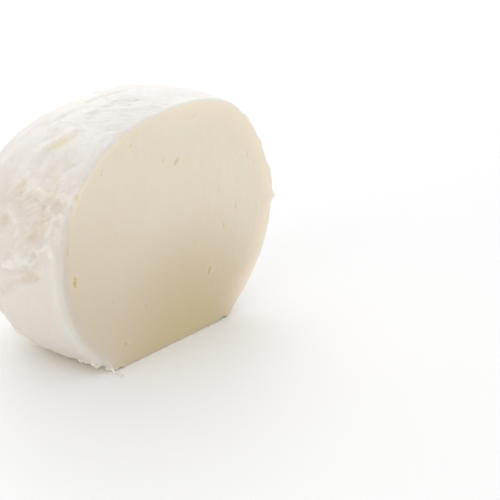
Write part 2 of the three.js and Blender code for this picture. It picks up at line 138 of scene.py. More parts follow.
# Holes in the cut face: across, up, half-width, half-height, depth, lean towards +X in degrees.
HOLES = [
    (-28.0, 21.5, 0.6, 1.35, 1.0, -4),
    (-29.6, 28.0, 0.5, 0.8, 0.35, 8),
    (1.3, 37.8, 0.5, 1.1, 0.6, 50),
    (-2.7, 39.0, 0.4, 0.6, 0.3, 30),
    (11.1, 12.3, 0.5, 1.0, 0.7, 35),
    (-14.9, 4.6, 0.5, 0.7, 0.5, -60),
    (15.8, 20.5, 0.4, 0.85, 0.4, 0),
]

# Shallow dimples, which the solid leaves out, laid out as in HOLES.
DIMPLES = [
    (6.6, 46.0, 0.35, 0.9, 0.2, 75),
    (25.8, 32.0, 0.3, 0.7, 0.2, 0),
    (23.6, 33.9, 0.25, 0.8, 0.2, -8),
    (-11.9, 44.1, 0.35, 0.7, 0.15, 70),
    (-6.7, 46.3, 0.3, 0.6, 0.12, 60),
    (-20.5, 41.3, 0.35, 0.6, 0.12, 60),
    (19.8, 24.0, 0.35, 0.9, 0.3, -5),
    (18.5, 18.0, 0.35, 0.7, 0.25, 0),
    (13.9, 28.8, 0.4, 1.0, 0.2, -15),
    (-18.2, 14.3, 0.4, 0.7, 0.22, 5),
    (-8.8, 10.5, 0.45, 0.6, 0.25, 0),
    (-19.9, 40.6, 0.35, 0.7, 0.35, 40),
    (-12.0, 43.9, 0.35, 0.6, 0.35, 60),
    (-26.3, 37.6, 0.4, 0.9, 0.3, 20),
]

# ---------- Small helpers


def smooth_step(low, high, x):
    """0 below low, 1 above high, and a smooth step between."""
    t = np.clip((x - low) / (high - low), 0, 1)
    return t * t * (3 - 2 * t)


def bell(distance, width):
    """1 at distance 0, and down to 0 over a few widths."""
    return np.exp(-((distance / width) ** 2))


LEAST_LENGTH = 1e-12


def unit(vectors):
    """The vectors at length 1. One of length 0 stays as it is."""
    return vectors / np.maximum(np.linalg.norm(vectors, axis=-1, keepdims=True), LEAST_LENGTH)


# Odd numbers, and shifts in bits, that scatter a cell's place and the seed, as in the solid.
CELL_STEPS = (374761393, 668265263, 1274126177)
SEED_STEP, STIR, SHIFTS = 97531, 1103515245, (13, 16)


def cell_number(i, j, k, seed):
    """A fixed pseudo-random whole number for each cell of the noise's lattice."""
    i, j, k = (n.astype(np.int64).astype(np.uint32) * np.uint32(m) for n, m in zip((i, j, k), CELL_STEPS))
    h = i + j + k + np.uint32(seed * SEED_STEP)
    h = (h ^ (h >> np.uint32(SHIFTS[0]))) * np.uint32(STIR)
    return h ^ (h >> np.uint32(SHIFTS[1]))


WEAK_SLOPE = 0.3  # the smaller of the two slopes that the noise may have along an axis
NOISE_GAIN = 1.3  # brings it to about -1 to 1


def noise(points, size, seed):
    """Gradient noise from about -1 to 1 at each point, its bumps about size apart."""
    scaled = points / size
    cell = np.floor(scaled)
    total = np.zeros(len(points))
    for corner in range(8):
        steps = np.array([corner & 1, corner >> 1 & 1, corner >> 2])
        offset = scaled - cell - steps
        h = cell_number(*(cell + steps).T, seed)
        slope = np.zeros(len(points))
        weight = np.ones(len(points))
        for axis in range(3):
            d = offset[:, axis]
            toward = np.where(h >> np.uint32(axis) & np.uint32(1), d, -d)
            steep = np.where(h >> np.uint32(axis + 3) & np.uint32(1), 1, WEAK_SLOPE)
            slope += toward * steep
            t = 1 - np.abs(d)
            weight *= t * t * t * (t * (6 * t - 15) + 10)
        total += slope * weight
    return NOISE_GAIN * total


def layered(layers, points):
    """Height that layers of noise add up to."""
    return sum(height * noise(points, size, seed) for height, size, seed in layers)


def distance_to_line(points, line):
    """Distance from each point to a line of points."""
    least = np.full(len(points), np.inf)
    for start, end in zip(line, line[1:]):
        along = end - start
        share = np.clip((points - start) @ along / (along @ along), 0, 1)
        gap = points - start - share[:, None] * along
        least = np.minimum(least, np.linalg.norm(gap, axis=1))
    return least


# ---------- The plain ball


def half_height(angle):
    """The plain ball's greatest height over its axis, or under it where the direction points down."""
    return np.where(np.sin(angle) > 0, HEIGHT_OVER_AXIS, HEIGHT_UNDER_AXIS)


def section_radius(angle):
    """Radius of the widest section in a direction round the long axis."""
    share = 1 + sum(c * np.cos(n * angle) + s * np.sin(n * angle) for n, c, s in SECTION_WAVES)
    return share / np.hypot(np.cos(angle) / HALF_WIDTH, np.sin(angle) / half_height(angle))


def section_share(back):
    """Half-size of the section at a distance behind the cut, as a share of the widest."""
    along = np.minimum(np.abs((back - CUT_TO_WIDEST) / HALF_LENGTH), 1)
    return (1 - along**FULLNESS) ** (1 / FULLNESS)


def settled(height):
    """Height over the resting plane, once the cheese has settled on it."""
    bent = (height + FOOT_BEND) ** 2 / (4 * FOOT_BEND)
    return np.where(height <= -FOOT_BEND, 0, np.where(height >= FOOT_BEND, height, bent))


def skin_point(angle, back):
    """The plain skin's points at angles round the long axis and distances behind the cut."""
    angle, back = np.broadcast_arrays(np.asarray(angle, float), np.asarray(back, float))
    radius = section_radius(angle) * section_share(back)
    height = settled(AXIS_HEIGHT + radius * np.sin(angle))
    return np.stack([radius * np.cos(angle), CUT_Y + back, height], axis=-1)


def skin_normal(angle, back):
    """Outward normals of the unsettled ball."""
    radius = section_radius(angle) * section_share(back)
    along = (back - CUT_TO_WIDEST) / HALF_LENGTH
    across = section_share(back) ** (FULLNESS - 2)
    outward = [
        across * radius * np.cos(angle) / HALF_WIDTH**2,
        np.sign(along) * np.abs(along) ** (FULLNESS - 1) / HALF_LENGTH,
        across * radius * np.sin(angle) / half_height(angle) ** 2,
    ]
    return unit(np.stack(outward, axis=-1))


# ---------- Relief that the solid has too


def place(spot):
    """A place on the plain skin, given in degrees and mm behind the cut."""
    return skin_point(np.radians(spot[0]), spot[1])


MARK_LINES = [(rise, width, np.array([place(spot) for spot in path])) for rise, width, path in MARKS]
PATCHES = [(place(spot), reach) for spot, reach in ROUGH_PATCHES]
FLAKES = [(place((degrees, 0)), height, width) for degrees, height, width in EDGE_FLAKES]


def roughness(points):
    """How rough the skin is at each point, from 0 to 1."""
    shares = [
        1 - smooth_step(PATCH_CORE * reach, reach, np.linalg.norm(points - middle, axis=1))
        for middle, reach in PATCHES
    ]
    return np.max(shares, axis=0)


def strayed(points):
    """The points moved a little by slow noise, so that what is measured from them wanders."""
    shift = np.stack([noise(points, WANDER_SIZE, seed) for seed in WANDER_SEEDS], axis=-1)
    return points + WANDER * shift


# The marks are also frayed by finer noise, which the solid's triangles couldn't show.
FINE_WANDER, FINE_WANDER_SIZE, FINE_WANDER_SEEDS = 0.22, 1.2, (11, 12, 13)


def finely_strayed(points):
    """The points moved a little more by finer noise."""
    shift = np.stack([noise(points, FINE_WANDER_SIZE, seed) for seed in FINE_WANDER_SEEDS], axis=-1)
    return points + FINE_WANDER * shift


def skin_relief(points):
    """Height of the solid's relief at points of the plain skin."""
    crease = CREASE_HEIGHT * bell(noise(points, CREASE_SIZE, CREASE_SEED), CREASE_SPREAD)
    height = layered(SWELLS, points) + roughness(points) * (layered(LUMPS, points) + crease)
    start = finely_strayed(strayed(points))
    unevenness = 1 + UNEVENNESS * noise(points, UNEVENNESS_SIZE, UNEVENNESS_SEED)
    for rise, width, line in MARK_LINES:
        height += rise * unevenness * bell(distance_to_line(start, line), width)
    for at, rise, width in FLAKES:
        height += rise * bell(np.linalg.norm(points - at, axis=1), width)
    return height


# ---------- Relief that only the looks have

# Pulled fibres run round the ball at a slant. Layers of them: height where they are strongest,
# spacing, length, seed.
FIBRES = [(0.16, 0.95, 4.8, 32), (0.09, 0.45, 3.2, 37)]
FIBRE_SLANT = 1.12  # mm behind the cut for each mm round the ball
FIBRE_BAND_MIDDLE = (106, 5)  # they are strongest round this place near the top
FIBRE_BAND_REACH, FIBRE_BAND_CORE = 12, 0.4  # within this many mm, and fully so in this share of them
FIBRE_FAINT = 0.3  # share of their height elsewhere
FIBRE_ROUGH = 0.9  # and on the rough patches
FIBRE_PATCHINESS, FIBRE_PATCH_SIZE, FIBRE_PATCH_SEED = 0.6, 4, 38
FIBRE_BENDING, FIBRE_BEND_SIZE, FIBRE_BEND_SEED = 0.9, 7, 31
BETWEEN_LAYERS = (0, 0, 0.5)  # their places are flat, and this lies between two layers of the lattice
MEAN_RADIUS = 28  # turns angles round the long axis into mm

FINE_SKIN = [(0.06, 2.0, 21), (0.045, 0.8, 22)]  # pocks all over
FINE_PATCH = [(0.22, 1.9, 23), (0.1, 0.85, 24)]  # more of them on the rough patches

# The torn edge low on the cut.
RAG = [(0.5, 1.6, 25), (0.3, 0.7, 26)]
RAG_DEEPEST = -0.1
RAG_REACH = 2.2  # mm behind the cut that the tearing reaches
RAG_HEIGHT, RAG_CORE = 3.5, 0.4  # and mm above the plane, and the share of them where it is full
RAG_FADE = 0.15  # it fades in within this height of the plane

# The finer tearing up the cut's right edge: it fades in between these mm across, and these mm up.
RIGHT_RAG = [(0.16, 1.5, 27), (0.12, 0.7, 28)]
RIGHT_RAG_REACH = 1.2
RIGHT_RAG_ACROSS, RIGHT_RAG_UP = (12, 24), (2, 6)

# The torn lip along the foot's left, and the short one in front of the cut.
SKIRT = [(1.6, 1.7, 29), (0.8, 0.8, 30)]
SKIRT_MOST = 1.2
SKIRT_SPAN = (-1.0, 0.8, 2.4, 3.6)  # heights of the unsettled skin between which the lip spreads
SKIRT_LEFT = (0.3, 0.5)  # how far to the left of the axis it fades in, as a cosine
SKIRT_BEHIND, SKIRT_REACH = (0.2, 1.4), 7  # mm behind the cut where it fades in, and that it reaches
SKIRT_SINKING = 0.12  # share of its height that it loses where it spreads most
FRONT_SKIRT, FRONT_SKIRT_SIZE, FRONT_SKIRT_SEED = 0.55, 1.1, 42
FRONT_SKIRT_REACH = 0.8  # mm from the cut's edge
FRONT_SKIRT_FADE = (0.1, 1.2)  # heights over which it fades out

GASH_POWER = 1.5  # how softly the gash starts at its outline
GASH_WOBBLE, GASH_WOBBLE_SIZE, GASH_WOBBLE_SEED = 0.25, 1.7, 33
PIT_WOBBLE, PIT_WOBBLE_SIZE, PIT_WOBBLE_SEED = 0.3, 1.3, 34  # of the outlines of holes and dimples
FULLY_SHADED = 1.0  # a hole this many mm deep gets its painted shade fully
KNIFE_TRACKS, KNIFE_TRACK_SPACING, KNIFE_TRACK_SEED = 0.03, 1.3, 35
KNIFE_TRACK_STRETCH = np.array([1, 1, 0.06])  # the tracks run up the cut


def arc_length(angle):
    """Millimetres round the ball from the middle of the foot, where the count starts over."""
    return (angle + np.pi / 2) % (2 * np.pi) * MEAN_RADIUS


def drawn_place(points, angle, back):
    """Where points of the plain skin lie along and across the fibres, in mm."""
    arc = arc_length(angle)
    slope = np.hypot(1, FIBRE_SLANT)
    along = (arc + FIBRE_SLANT * back) / slope
    bend = FIBRE_BENDING * noise(points, FIBRE_BEND_SIZE, FIBRE_BEND_SEED)
    across = (back - FIBRE_SLANT * arc) / slope + bend
    return np.stack([along, across, np.zeros(len(points))], axis=-1)


def fibre_relief(points, drawn):
    """Height of the pulled fibres at points of the plain skin."""
    away = np.linalg.norm(points - place(FIBRE_BAND_MIDDLE), axis=1)
    band = 1 - smooth_step(FIBRE_BAND_CORE * FIBRE_BAND_REACH, FIBRE_BAND_REACH, away)
    strength = np.maximum(np.maximum(band, FIBRE_ROUGH * roughness(points)), FIBRE_FAINT)
    share = strength * (1 + FIBRE_PATCHINESS * noise(points, FIBRE_PATCH_SIZE, FIBRE_PATCH_SEED))
    return share * sum(
        height * noise(drawn / (length, spacing, 1) + BETWEEN_LAYERS, 1, seed)
        for height, spacing, length, seed in FIBRES
    )


def fine_relief(points, drawn):
    """Height of the fibres and pocks at points of the plain skin."""
    height = fibre_relief(points, drawn) + layered(FINE_SKIN, points)
    return height + roughness(points) * layered(FINE_PATCH, points)


def torn_relief(points, back):
    """Height of the torn edge of the cut, at points of the plain skin."""
    height = points[:, 2]
    low = smooth_step(0, RAG_FADE, height) * (1 - smooth_step(RAG_CORE * RAG_HEIGHT, RAG_HEIGHT, height))
    torn = low * bell(back, RAG_REACH) * np.maximum(layered(RAG, points), RAG_DEEPEST)
    right = smooth_step(*RIGHT_RAG_ACROSS, points[:, 0]) * smooth_step(*RIGHT_RAG_UP, height)
    return torn + right * bell(back, RIGHT_RAG_REACH) * layered(RIGHT_RAG, points)


def skirt_spread(points, angle, back):
    """How far the torn lip along the foot's left spreads out over the plane."""
    unsettled = AXIS_HEIGHT + section_radius(angle) * section_share(back) * np.sin(angle)
    least, low, high, most = SKIRT_SPAN
    near = smooth_step(least, low, unsettled) * (1 - smooth_step(high, most, unsettled))
    left = smooth_step(*SKIRT_LEFT, -np.cos(angle)) * smooth_step(*SKIRT_BEHIND, back)
    return near * left * bell(back, SKIRT_REACH) * np.clip(layered(SKIRT, points), 0, SKIRT_MOST)


def front_skirt(points, far):
    """How far the torn lip stands out in front of the cut; far is the distance from the cut's edge."""
    ragged = np.maximum(noise(points * (1, 0, 1), FRONT_SKIRT_SIZE, FRONT_SKIRT_SEED), 0)
    low = 1 - smooth_step(*FRONT_SKIRT_FADE, points[:, 2])
    return FRONT_SKIRT * ragged * bell(far, FRONT_SKIRT_REACH) * low


def bowl(across, along, half_width, half_length):
    """Depth share of a hollow's bowl, from 0 at its outline to 1 in the middle."""
    radius = np.hypot(across / half_width, along / half_length)
    return np.maximum(1 - radius**2, 0)


def gash_share(points):
    """How deep the gash is at points of the plain skin, as a share of its greatest depth."""
    start, end = place(GASH_FROM), place(GASH_TO)
    middle = (start + end) / 2
    along = unit(end - start)
    middle_angle = np.radians((GASH_FROM[0] + GASH_TO[0]) / 2)
    outward = skin_normal(middle_angle, np.array((GASH_FROM[1] + GASH_TO[1]) / 2))
    aside = np.cross(along, unit(outward - (outward @ along) * along))
    offset = points - middle
    half_length = np.linalg.norm(end - start) / 2
    across = offset @ aside + GASH_WOBBLE * noise(points, GASH_WOBBLE_SIZE, GASH_WOBBLE_SEED)
    half_width = np.where(across > 0, GASH_RUN_OUT, GASH_UNDER_LIP)
    share = bowl(across, offset @ along, half_width, half_length) ** GASH_POWER
    on_this_side = np.linalg.norm(offset, axis=1) < 2 * half_length
    return share * on_this_side


def finished_skin(angle, back):
    """The finished skin, its places along the fibres, how deep its gash is, and its relief."""
    points = skin_point(angle, back)
    drawn = drawn_place(points, angle, back)
    deep = gash_share(points)
    relief = skin_relief(points) + fine_relief(points, drawn) - GASH_DEPTH * deep
    height = relief * smooth_step(0, FOOT_FADE, points[:, 2]) + torn_relief(points, back)
    spread = skirt_spread(points, angle, back)
    normal = skin_normal(angle, back)
    offset = normal * height[:, None] + unit(normal * (1, 1, 0)) * spread[:, None]
    offset[:, 1] *= smooth_step(0, LEAN_FADE, back)
    points = points + offset
    points[:, 2] = np.maximum(points[:, 2], 0) * (1 - SKIRT_SINKING * spread / SKIRT_MOST)
    return points, drawn, deep, relief


def cut_depth(points):
    """How deep the holes and dimples are at points of the cut face, and how much painted shade they get."""
    depth = np.zeros(len(points))
    share = np.zeros(len(points))
    for across, up, half_width, half_length, deepest, lean in HOLES + DIMPLES:
        turn = np.radians(lean)
        dx, dz = points[:, 0] - across, points[:, 2] - up
        aside = dx * np.cos(turn) - dz * np.sin(turn)
        along = dx * np.sin(turn) + dz * np.cos(turn)
        wobble = PIT_WOBBLE * half_width * noise(points, PIT_WOBBLE_SIZE, PIT_WOBBLE_SEED)
        inside = bowl(aside + wobble, along, half_width, half_length)
        depth = np.maximum(depth, deepest * inside)
        share = np.maximum(share, inside * min(deepest / FULLY_SHADED, 1))
    return depth, share


# ---------- From a sphere to the cheese

CUT_MIDDLE = np.array([0, CUT_Y, AXIS_HEIGHT])
RIM_TURN = -np.arcsin((CUT_TO_WIDEST / HALF_LENGTH) ** (FULLNESS / 2))

# The left of the cut's edge, in degrees round the long axis, and its right, in degrees from the middle
# of the foot: each fades in over the first pair and out over the second.
LEFT_IN, LEFT_OUT = (148, 180), (228, 236)
RIGHT_IN, RIGHT_OUT = (30, 60), (165, 200)

EDGE_ROUNDING = 0.8  # radius of the cut's edge
ROUNDING_WAVE, ROUNDING_WAVE_SIZE, ROUNDING_WAVE_SEED = 0.4, 3.5, 41  # how unevenly it is rounded
LEFT_ROUNDER = 0.7  # and how much more so along its left
FOOT_SHARPER, FOOT_SHARPER_BELOW = 0.15, 3  # share of the radius left at the foot, and up to what height

# What the material is told. Shares of its tints, and reaches in mm from the cut's edge.
# painted shade in the gash
GASH_SHADE = 0.27
BAND_MIDDLE, BAND_WIDTH = 0.5, 1.6  # the paler skin that the knife laid bare along the cut's left
BAND_ON_CUT = 0.6
BAND_EVENNESS, BAND_PATCHES = 0.8, [(0.3, 5, 44), (0.2, 2, 45)]
GLOW_WIDTH = 2.2  # painted glow, where light comes through the thin edge along the cut's top and right
GLOW_ON_CUT = 3.8
SKIN_BLEND, LEFT_BLEND = 0.45, 3.5  # how softly the skin's colour turns into the cut's
EDGE_FRAYING, EDGE_FRAYS = 0.3, [(1, 2, 39), (0.6, 0.7, 40)]

# Painted highlights on nodules, as place and reach, and a fold low on the left, whose underside gets
# painted shade.
NODULE_HIGHLIGHTS = [((174.8, 8.8), 1.0), ((173.8, 7.0), 0.9), ((168.4, 2.4), 1.0)]
NODULE_HIGHLIGHTS += [((171.4, 1.6), 0.8), ((177.4, 12), 0.9)]
SHADED_FOLD = np.array([place(spot) for spot in [(214, 20), (219, 16), (221, 11)]])
SHADED_TINT, SHADED_WIDTH = 0.22, 1.1


def sphere_place(sphere):
    """Angle round the long axis of points on the sphere, and share of the way from the cut's edge."""
    share = np.arcsin(np.minimum(np.abs(sphere[:, 1]), 1)) / (np.pi / 2)
    return np.arctan2(sphere[:, 2], sphere[:, 0]), share


def back_at(share):
    """The distance behind the cut for a share of the way from the cut's edge to the back."""
    s = np.sin(RIM_TURN + share * (np.pi / 2 - RIM_TURN))
    return CUT_TO_WIDEST + HALF_LENGTH * np.sign(s) * np.abs(s) ** (2 / FULLNESS)


def plain_points(sphere):
    """The places on the plain cheese of points on the unit sphere."""
    angle, share = sphere_place(sphere)
    rim = skin_point(angle, 0)
    on_cut = rim + share[:, None] * (CUT_MIDDLE - rim)
    return np.where(sphere[:, 1:2] < 0, on_cut, skin_point(angle, back_at(share)))


def left_share(angle):
    """1 along the left of the cut's edge, and 0 along its top, its right and the foot."""
    turn = np.degrees(angle) % 360
    return smooth_step(*LEFT_IN, turn) * (1 - smooth_step(*LEFT_OUT, turn))


def right_share(angle):
    """1 along the top right and the right of the cut's edge, and 0 along its left."""
    turn = (np.degrees(angle) + 90) % 360
    return smooth_step(*RIGHT_IN, turn) * (1 - smooth_step(*RIGHT_OUT, turn))


def edge_radius(angle):
    """The radius of the cut's rounded edge."""
    rim = skin_point(angle, 0)
    uneven = 1 + ROUNDING_WAVE * noise(rim, ROUNDING_WAVE_SIZE, ROUNDING_WAVE_SEED)
    footed = FOOT_SHARPER + (1 - FOOT_SHARPER) * smooth_step(0, FOOT_SHARPER_BELOW, rim[:, 2])
    return EDGE_ROUNDING * uneven * footed * (1 + LEFT_ROUNDER * left_share(angle))


def rounded(points, inward, far, on_cut, radius):
    """The points with the cut's edge rounded; far is their distance from that edge."""
    near = far < radius
    turn = np.pi / 4 * (1 - np.minimum(far / radius, 1))
    sunk = radius * (1 - np.cos(turn)) * near
    kept = (radius * (1 - np.sin(turn)) - far) * near
    moved = points + inward * np.where(on_cut, kept, sunk)[:, None]
    moved[:, 1] += np.where(on_cut, sunk, kept)
    return moved


def cut_relief(face, far):
    """How far points of the cut face are sunk, and their painted shade; far is their distance from its
    edge.
    """
    depth, tint = cut_depth(face)
    fade = smooth_step(0, CUT_WAVE_FADE, far)
    tracks = KNIFE_TRACKS * noise(face * KNIFE_TRACK_STRETCH, KNIFE_TRACK_SPACING, KNIFE_TRACK_SEED)
    return (layered(CUT_WAVE, face) + tracks) * fade + depth, tint


def cheese_points(sphere):
    """The finished places of points on the unit sphere, and what the material needs to know there."""
    angle, share = sphere_place(sphere)
    on_cut = sphere[:, 1] < 0
    back = np.where(on_cut, 0, back_at(share))
    points, drawn, gash, relief = finished_skin(angle, back)
    hollow = GASH_SHADE * gash
    far = back.copy()
    inward = -skin_normal(angle, back)
    inward[:, 1] = 0
    points[on_cut] += share[on_cut, None] * (CUT_MIDDLE - points[on_cut])
    far[on_cut] = share[on_cut] * np.linalg.norm(CUT_MIDDLE - skin_point(angle, 0)[on_cut], axis=1)
    points = rounded(points, unit(inward), far, on_cut, edge_radius(angle))
    points[:, 1] -= front_skirt(points, far)
    face = points[on_cut]
    sunk, pit = cut_relief(face, far[on_cut])
    face[:, 1] += sunk
    points[on_cut] = face
    hollow[on_cut] = pit
    drawn[on_cut] = face[:, [2, 0, 1]]
    return points, {"drawn": drawn} | tints(sphere, angle, far, on_cut, hollow, relief)


def tints(sphere, angle, far, on_cut, hollow, relief):
    """The shares by which the material is tinted at points on the unit sphere, painted shade and glow among
    them.
    """
    plain = plain_points(sphere)
    left = left_share(angle)
    # painted highlights on nodules, which take the band's colour
    pale = [bell(np.linalg.norm(plain - place(spot), axis=1), reach) for spot, reach in NODULE_HIGHLIGHTS]
    band = left * np.where(on_cut, bell(far, BAND_ON_CUT), bell(far - BAND_MIDDLE, BAND_WIDTH))
    band = band * np.clip(BAND_EVENNESS + layered(BAND_PATCHES, plain), 0, 1)
    inside = np.where(on_cut, far, -far) + EDGE_FRAYING * layered(EDGE_FRAYS, plain)
    shaded = SHADED_TINT * bell(distance_to_line(plain, SHADED_FOLD), SHADED_WIDTH)
    return {
        "cut": smooth_step(-SKIN_BLEND, SKIN_BLEND + LEFT_BLEND * left, inside),
        "band": np.maximum(band, np.where(on_cut, 0, np.max(pale, axis=0))),
        "glow": right_share(angle) * bell(far, np.where(on_cut, GLOW_ON_CUT, GLOW_WIDTH)),
        "hollow": hollow + np.where(on_cut, 0, shaded),
        "rough": np.where(on_cut, 0, roughness(plain)),
        "relief": np.where(on_cut, 0, relief),
    }


# ---------- Triangles

# Longest edges of the triangles, in mm.
FRONT_EDGE = 0.44
BACK_EDGE = 0.9
FOOT_EDGE = 2.0
RIM_EDGE = 0.3
CUT_EDGE = 1.1
PIT_EDGE = 0.17
FIBRE_EDGE = 0.32
MARK_EDGE = 0.35  # share of a mark's width
COARSENING = 0.35  # how much longer they may be for each mm away from what is fine
PIT_COARSENING = 1.6 * COARSENING
RIM_BELT = 0.6  # mm to either side of the cut's edge that are as fine as it
FIBRE_BELT = 0.8  # share of the fibre band's reach that is as fine as its middle
MARK_BELT = 2  # widths of a mark to either side of it that are as fine as it
PIT_BELT = 1.5  # half-widths of a hole

# The finely marked front left: degrees round the long axis, and mm behind the cut. Then the degrees
# and the mm over which it turns into the rest of the skin.
FRONT_TURNS, FRONT_DEPTH = (85, 235), 18
FRONT_TURN_FADE, FRONT_DEPTH_FADE = 15, 6
MOST_SPLITS = 11  # rounds of splitting, each of which halves the edges that are too long


def longest_edges(places, on_cut):
    """The longest that a triangle's edge may be at each place."""
    angle = np.arctan2(places[:, 2] - AXIS_HEIGHT, places[:, 0])
    back = places[:, 1] - CUT_Y
    to_rim = np.where(on_cut, np.linalg.norm(skin_point(angle, 0) - places, axis=1), back)
    near_rim = RIM_EDGE + COARSENING * np.maximum(to_rim - RIM_BELT, 0)
    turn = np.degrees(angle) % 360
    turned_away = np.maximum(np.maximum(FRONT_TURNS[0] - turn, turn - FRONT_TURNS[1]), 0)
    aside = turned_away / FRONT_TURN_FADE + np.maximum(back - FRONT_DEPTH, 0) / FRONT_DEPTH_FADE
    skin = FRONT_EDGE + (BACK_EDGE - FRONT_EDGE) * smooth_step(0, 1, aside)
    longest = np.minimum(near_rim, np.where(on_cut, CUT_EDGE, skin))
    away = np.linalg.norm(places - place(FIBRE_BAND_MIDDLE), axis=1)
    beyond = np.maximum(away - FIBRE_BELT * FIBRE_BAND_REACH, 0)
    longest = np.where(on_cut, longest, np.minimum(longest, FIBRE_EDGE + COARSENING * beyond))
    for _, width, line in MARK_LINES:
        beyond = np.maximum(distance_to_line(places, line) - MARK_BELT * width, 0)
        near = MARK_EDGE * width + COARSENING * beyond
        longest = np.where(on_cut, longest, np.minimum(longest, near))
    pits = [(np.array([place(GASH_FROM), place(GASH_TO)]), GASH_UNDER_LIP)]
    for across, up, half_width, half_length, _, lean in HOLES + DIMPLES:
        lengthwise = half_length * np.array([np.sin(np.radians(lean)), 0, np.cos(np.radians(lean))])
        at = np.array([across, CUT_Y, up])
        pits.append((np.array([at - lengthwise, at + lengthwise]), PIT_BELT * half_width))
    for line, reach in pits:
        beyond = np.maximum(distance_to_line(places, line) - reach, 0)
        longest = np.minimum(longest, PIT_EDGE + PIT_COARSENING * beyond)
    return np.where(places[:, 2] <= 0, np.minimum(near_rim, FOOT_EDGE), longest)


def rolled(rows, first):
    """Each row of three turned so that it starts with its own first one."""
    return np.take_along_axis(rows, (first[:, None] + np.arange(3)) % 3, axis=1)


def split_faces(faces, cuts, places):
    """The faces once their edges with a middle point (a number in cuts, or -1) are cut there."""
    count = (cuts >= 0).sum(axis=1)
    made = [faces[count == 0]]
    a, b, c = faces[count == 3].T
    ab, bc, ca = cuts[count == 3].T
    made += [np.stack(f, axis=1) for f in [(a, ab, ca), (ab, b, bc), (ca, bc, c), (ab, bc, ca)]]
    one = count == 1
    first = np.argmax(cuts[one] >= 0, axis=1) + 1
    a, b, c = rolled(faces[one], first).T
    ca = rolled(cuts[one], first)[:, 2]
    made += [np.stack(f, axis=1) for f in [(a, b, ca), (b, c, ca)]]
    two = count == 2
    first = np.argmax(cuts[two] < 0, axis=1) + 1
    a, b, c = rolled(faces[two], first).T
    ab, bc, _ = rolled(cuts[two], first).T
    a_to_bc = np.linalg.norm(places[a] - places[bc], axis=1)
    ab_to_c = np.linalg.norm(places[ab] - places[c], axis=1)
    from_a = a_to_bc < ab_to_c
    made.append(np.stack([ab, b, bc], axis=1))
    made.append(np.stack([a, ab, np.where(from_a, bc, c)], axis=1))
    made.append(np.stack([np.where(from_a, a, ab), bc, c], axis=1))
    return np.concatenate(made)


def refined_sphere():
    """Points on the unit sphere, and triangles fine enough for the cheese that they become."""
    sphere = np.array([[1, 0, 0], [-1, 0, 0], [0, 1, 0], [0, -1, 0], [0, 0, 1], [0, 0, -1]], float)
    x, minus_x, y, minus_y, z, minus_z = range(6)
    ring = [(x, z), (z, minus_x), (minus_x, minus_z), (minus_z, x)]
    faces = np.array([(b, a, y) for a, b in ring] + [(a, b, minus_y) for a, b in ring])
    for _ in range(MOST_SPLITS):
        ends = np.sort(faces[:, [[0, 1], [1, 2], [2, 0]]].reshape(-1, 2), axis=1)
        keys, which = np.unique(ends[:, 0] * len(sphere) + ends[:, 1], return_inverse=True)
        edges = np.stack([keys // len(sphere), keys % len(sphere)], axis=1)
        middles = unit(sphere[edges].sum(axis=1))
        places = plain_points(sphere)
        lengths = np.linalg.norm(places[edges[:, 0]] - places[edges[:, 1]], axis=1)
        too_long = lengths > longest_edges(plain_points(middles), middles[:, 1] < 0)
        if not too_long.any():
            break
        number = np.full(len(edges), -1)
        number[too_long] = len(sphere) + np.arange(too_long.sum())
        sphere = np.concatenate([sphere, middles[too_long]])
        faces = split_faces(faces, number[which].reshape(-1, 3), plain_points(sphere))
    return sphere, faces


# ---------- The cheese


def add_mesh(name, points, faces, masks):
    """A smooth mesh object from points in mm, with a number or a vector kept at each vertex."""
    mesh = bpy.data.meshes.new(name)
    mesh.from_pydata(((points + (AXIS_X, 0, 0)) * MM).tolist(), [], faces.tolist())
    mesh.shade_smooth()
    for key, values in masks.items():
        kind, field = ("FLOAT", "value") if values.ndim == 1 else ("FLOAT_VECTOR", "vector")
        mask = mesh.attributes.new(key, kind, "POINT")
        mask.data.foreach_set(field, values.astype(np.float32).ravel())
    piece = bpy.data.objects.new(name, mesh)
    bpy.context.scene.collection.objects.link(piece)
    return piece


sphere, triangles = refined_sphere()
cheese_surface, cheese_masks = cheese_points(sphere)
ball = add_mesh("mozzarella_ball", cheese_surface, triangles, cheese_masks)
print("ball:", len(triangles), "triangles")

# ---------- The loose shred

# A thin shred that the knife pulled out of the lower left corner of the cut: the points that each of
# its two strands runs through, and their thickness at the root and at the tip.
LONG_STRAND = [(-19.2, -18.4, 1.9), (-19.0, -19.5, 1.2), (-19.3, -20.5, 0.6)]
LONG_STRAND += [(-19.1, -21.7, 0.35), (-19.7, -23.0, 0.16)]
SHORT_STRAND = [(-19.2, -20.7, 0.55), (-18.8, -21.3, 0.3), (-18.8, -21.9, 0.15), (-18.5, -22.3, 0.1)]
SHRED_ROOT, SHRED_TIP = 0.8, 0.2
SHRED_TAPER = 0.6  # power by which it thins
SHRED_WAVE, SHRED_WAVE_SIZE, SHRED_WAVE_SEED = 0.2, 0.7, 36  # how uneven its thickness is
SHRED_FLATNESS = 0.5
SHRED_CLEARANCE = 0.02  # mm above the plane that it stays
# the shred's share of the painted glow
SHRED_GLOW = 0.6
SHRED_STEPS, SHRED_SIDES = 40, 12


def smooth_path(corners, steps):
    """Points along a smooth curve through corners (Catmull-Rom)."""
    corners = np.array(corners, float)
    before = 2 * corners[:1] - corners[1:2]
    after = 2 * corners[-1:] - corners[-2:-1]
    padded = np.concatenate([before, corners, after])
    at = np.linspace(0, len(corners) - 1, steps)
    i = np.minimum(at.astype(int), len(corners) - 2)
    t = (at - i)[:, None]
    a, b, c, d = (padded[i + n] for n in range(4))
    return b + 0.5 * t * (c - a + t * (2 * a - 5 * b + 4 * c - d + t * (3 * (b - c) + d - a)))


